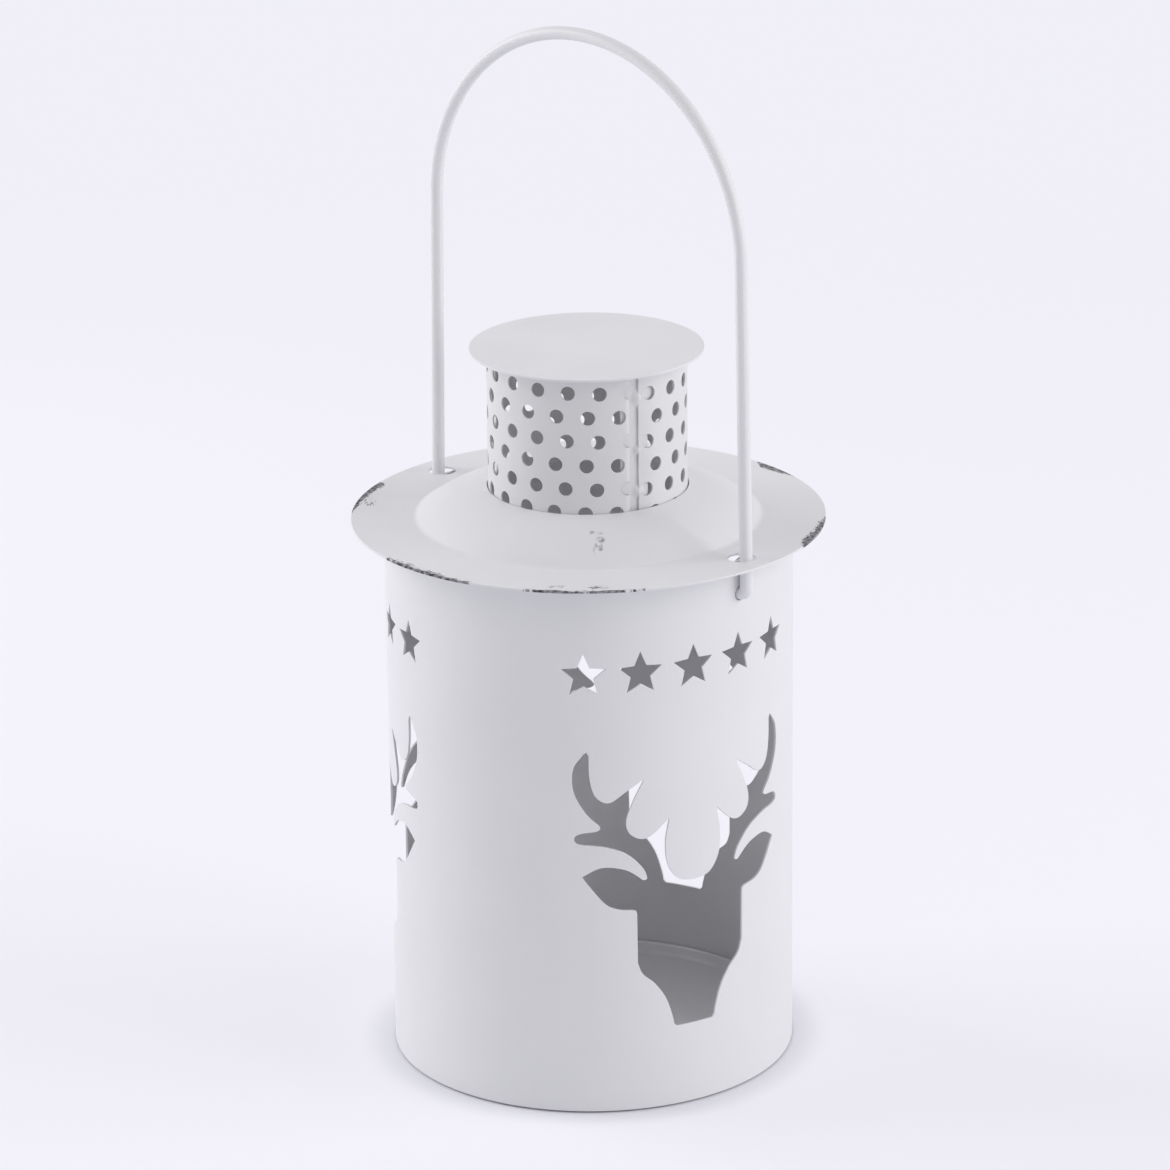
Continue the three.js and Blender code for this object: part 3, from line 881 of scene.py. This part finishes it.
def strap_lift(along, up):
    """The strap bulges out to the chimney's right end where the two are tacked together."""
    lift = 0.0
    for height, wide, long in TACKS:
        reach = math.hypot((along - SEAM_RIGHT) / wide, (up - DOME_TOP - height) / long)
        lift = max(lift, TACK_RISE * smooth_step(1 - reach))
    return lift


def make_strap():
    """The strap, from the chimney's foot to its top."""
    bm = bmesh.new()
    tab_end, tab_foot = STRAP_RIGHT + STRAP_TAB, CHIMNEY_TOP - STRAP_TAB_HEIGHT
    outline = rectangle((-STRAP_LEFT, STRAP_RIGHT), (CHIMNEY_FOOT, tab_foot))[:3]
    outline += rectangle((-STRAP_LEFT, tab_end), (tab_foot, CHIMNEY_TOP))[1:]
    draw_outline(bm, outline)
    fill_sheet(bm)
    slice_levels(bm, CHIMNEY_FOOT, CHIMNEY_TOP, STRAP_LEVELS)
    slice_strips(bm, -STRAP_LEFT, tab_end, STRAP_STRIP)
    thicken_flat(bm, STRAP_SHEET)
    roll_up(bm, STRAP_RADIUS, strap_lift)
    # The strap shares the chimney's paint and its painted shade.
    finish_piece(bm, "seam_strap", "chimney_strap", "lid", chimney_paint)


make_strap()

# %% [markdown]
# ## Cap
#
# The cap is a plain disc that keeps rain off the chimney. A flat cylinder would do, but spun like the other
# round pieces it gets the same thin sheet and the same rounded rim.

# %% Cap
CAP_SHEET = 0.6
CAP_RINGS = (0, 0.25, 0.5, 0.75, 0.92, 1)


def make_cap():
    """The cap disc."""
    bm = bmesh.new()
    spin_line(bm, [(ring * CAP_RADIUS, CAP_TOP) for ring in CAP_RINGS])
    thicken_skin(bm, CAP_SHEET)
    finish_piece(bm, "cap_disc", "chimney_cap", "lid", lid_paint)


make_cap()

# %% [markdown]
# ## Bail
#
# The bail is one wire. It comes out of a hole in the wall, turns up, passes the lid, and crosses in an
# arch. A curve with a round bevel would do, but extruding a ring from station to station keeps the
# number of rings where the bends are. Each station has a place and a direction, and the ring is carried
# from one to the next.

# %% Bail route
BAIL_BEND = 1.9
BAIL_ARCH_RISE = 49.4
BAIL_LEG_LEAN = 1.6
HOOK_REACH = 3.6
BEND_STEPS = 10
LEG_STEPS = 12
ARCH_STEPS = 48
WIRE_SEGMENTS = 20


def bail_half():
    """One half of the bail in its own plane, as (outwards, up), from the hook's tip to the arch's top."""
    foot = WALL_RADIUS + BAIL_BEND
    spring = Vector((foot - BAIL_LEG_LEAN, BAIL_TOP - WIRE_RADIUS - BAIL_ARCH_RISE))
    centre = Vector((WALL_RADIUS, HOOK_HEIGHT + BAIL_BEND))
    tip = Vector((WALL_RADIUS - WALL_SHEET - HOOK_REACH, HOOK_HEIGHT))
    bend_turns = [math.pi / 2 * (i / BEND_STEPS - 1) for i in range(BEND_STEPS + 1)]
    bend = [centre + Vector((math.cos(t), math.sin(t))) * BAIL_BEND for t in bend_turns]
    leg = [bend[-1].lerp(spring, i / LEG_STEPS) for i in range(1, LEG_STEPS)]
    arch_turns = [math.pi / 2 * i / ARCH_STEPS for i in range(ARCH_STEPS + 1)]
    arch = [Vector((spring.x * math.cos(t), spring.y + BAIL_ARCH_RISE * math.sin(t))) for t in arch_turns]
    return [tip] + bend + leg + arch


def bail_stations():
    """The whole route in space: one half, the other mirrored."""
    half = bail_half()
    whole = half + [Vector((-point.x, point.y)) for point in reversed(half[:-1])]
    return [polar(point.x, BAIL_ANGLE, point.y) for point in whole]


print(f"bail: {len(bail_stations())} stations")

# %% Bail
TIP_ROUND = 0.35
TIP_SEGMENTS = 3


def station_frames(stations):
    """A matrix for each station: its place, and a turn that looks along the wire."""
    across = polar(1, BAIL_ANGLE + math.pi / 2)
    frames = []
    for i, place in enumerate(stations):
        along = (stations[min(i + 1, len(stations) - 1)] - stations[max(i - 1, 0)]).normalized()
        turn = Matrix((across, along.cross(across), along)).transposed().to_4x4()
        frames.append(Matrix.Translation(place) @ turn)
    return frames


def make_bail():
    """A ring carried along the bail's route, closed at both tips."""
    bm = bmesh.new()
    frames = station_frames(bail_stations())
    ring = bmesh.ops.create_circle(bm, cap_ends=True, segments=WIRE_SEGMENTS, radius=WIRE_RADIUS,
                                   matrix=frames[0])
    edges = list({edge for vert in ring["verts"] for edge in vert.link_edges})
    for before, after in zip(frames, frames[1:]):
        grown = bmesh.ops.extrude_edge_only(bm, edges=edges)["geom"]
        verts = [item for item in grown if isinstance(item, bmesh.types.BMVert)]
        edges = [item for item in grown if isinstance(item, bmesh.types.BMEdge)]
        edges = [edge for edge in edges if all(vert in verts for vert in edge.verts)]
        bmesh.ops.transform(bm, matrix=after @ before.inverted(), verts=verts)
    bmesh.ops.contextual_create(bm, geom=edges)
    bmesh.ops.recalc_face_normals(bm, faces=bm.faces)
    tips = [edge for edge in bm.edges if edge.calc_face_angle(0) > RIM_ANGLE]
    bmesh.ops.bevel(bm, geom=tips, offset=TIP_ROUND, offset_type="OFFSET", affect="EDGES",
                    segments=TIP_SEGMENTS, profile=0.5, material=-1)
    finish_piece(bm, "wire_bail", "bail_handle", "bail", wire_paint)


make_bail()

# %% [markdown]
# ## Floor, light and background
#
# The lantern stands on a pale, faintly violet sweep that runs out of the picture on all sides. It is lit
# as in a white tent: light comes from everywhere, a little stronger from the two sides behind the lantern,
# so that its front is the darkest part. To the camera about half of the floor's brightness is a glow of its
# own colour, and the rest is real light, which holds the shadow. Further off the floor fades to the plain
# background, so that neither a patch of light nor a horizon shows behind the lantern from any side.

# %% Floor
FLOOR_SIZE = 12.0
FLOOR_DROP = 0.0005
BACKGROUND = (0.871, 0.863, 0.93, 1)
FLOOR_COLOUR = (0.86, 0.855, 0.90, 1)
FLOOR_GLOW = (0.937, 0.925, 1.0, 1)
GLOW_STRENGTH = 1.1
SHADOW_SHARE = 0.55
CONTACT_INNER = 0.052
CONTACT_OUTER = 0.062
FAR_INNER = 0.45
FAR_OUTER = 0.9


def background_rays(tree):
    """One for the rays that show the background: straight from the camera, mirrored or through glass."""
    rays = add_node(tree, "ShaderNodeLightPath").outputs
    shown = math_node(tree, "MAXIMUM", rays["Is Camera Ray"], rays["Is Glossy Ray"])
    return math_node(tree, "MAXIMUM", shown, rays["Is Transmission Ray"])


def shown_beyond(tree, inner, outer, share):
    """A share for the rays that show the background: nothing within one reach, all of it past another."""
    place = add_node(tree, "ShaderNodeTexCoord").outputs["Object"]
    fade = ramp(tree, reach_of(tree, place), inner, outer, high=share)
    return math_node(tree, "MULTIPLY", background_rays(tree), fade)


def floor_material():
    """A matt floor that glows beside the lantern, but for its shadow, and far off is plain background."""
    material = bpy.data.materials.new("pale_floor")
    material.use_nodes = True
    tree = material.node_tree
    tree.nodes.remove(tree.nodes["Principled BSDF"])
    matt = add_node(tree, "ShaderNodeBsdfDiffuse", {"Color": FLOOR_COLOUR}).outputs[0]
    glow = add_node(tree, "ShaderNodeEmission", {"Color": FLOOR_GLOW, "Strength": GLOW_STRENGTH}).outputs[0]
    plain = add_node(tree, "ShaderNodeEmission", {"Color": BACKGROUND}).outputs[0]
    beside = shown_beyond(tree, CONTACT_INNER, CONTACT_OUTER, 1 - SHADOW_SHARE)
    far_off = shown_beyond(tree, FAR_INNER, FAR_OUTER, 1)
    near_floor = add_node(tree, "ShaderNodeMixShader", {0: beside, 1: matt, 2: glow}).outputs[0]
    whole_floor = add_node(tree, "ShaderNodeMixShader", {0: far_off, 1: near_floor, 2: plain}).outputs[0]
    tree.links.new(whole_floor, tree.nodes["Material Output"].inputs["Surface"])
    return material


def make_floor():
    """A wide flat floor just under the base."""
    bm = bmesh.new()
    bmesh.ops.create_grid(bm, x_segments=1, y_segments=1, size=FLOOR_SIZE / 2)
    bmesh.ops.translate(bm, vec=(0, 0, -FLOOR_DROP), verts=bm.verts)
    mesh = bpy.data.meshes.new("pale_floor")
    bm.to_mesh(mesh)
    bm.free()
    mesh.materials.append(floor_material())
    floor = bpy.data.objects.new("pale_floor", mesh)
    bpy.context.collection.objects.link(floor)


make_floor()
print(f"floor {FLOOR_SIZE:.0f} m wide")

# %% Light tent
TENT_LIGHT = (0.97, 0.97, 1.0, 1)
TENT_STRENGTH = 0.6
PANEL_DISTANCE = 1.6
PANEL_HEIGHT = 0.75
PANEL_SIZE = 1.3
# A panel: its angle from the camera's side of the lantern, in degrees, and its power in watts.
PANELS = {"left_panel": (-108, 15.5), "right_panel": (78, 13.5)}


def make_world():
    """Even light all round, and the background's colour where the floor ends."""
    world = bpy.data.worlds.new("light_tent")
    bpy.context.scene.world = world
    world.use_nodes = True
    tree = world.node_tree
    tent = tree.nodes["Background"]
    tent.inputs["Color"].default_value = TENT_LIGHT
    tent.inputs["Strength"].default_value = TENT_STRENGTH
    shown = add_node(tree, "ShaderNodeBackground", {"Color": BACKGROUND, "Strength": 1}).outputs[0]
    sockets = {0: background_rays(tree), 1: tent.outputs[0], 2: shown}
    mixed = add_node(tree, "ShaderNodeMixShader", sockets).outputs[0]
    tree.links.new(mixed, tree.nodes["World Output"].inputs["Surface"])


def make_panel(name, side, power):
    """A soft panel light beside the lantern, at an angle from the camera's side of it."""
    data = bpy.data.lights.new(name, "AREA")
    data.size = PANEL_SIZE
    data.energy = power
    panel = bpy.data.objects.new(name, data)
    place = polar(PANEL_DISTANCE, CAMERA_AZIMUTH + math.radians(side), PANEL_HEIGHT)
    panel.location = place
    middle = Vector((0, 0, TARGET_HEIGHT * MM))
    panel.rotation_mode = "QUATERNION"
    panel.rotation_quaternion = (middle - place).to_track_quat("-Z", "Y")
    bpy.context.collection.objects.link(panel)


make_world()
for panel_name, (panel_side, panel_power) in PANELS.items():
    make_panel(panel_name, panel_side, panel_power)
print("light:", ", ".join(PANELS))

# %% [markdown]
# ## View
#
# Colours are shown as they are, without a film look.

# %% View settings
bpy.context.scene.view_settings.view_transform = "Standard"
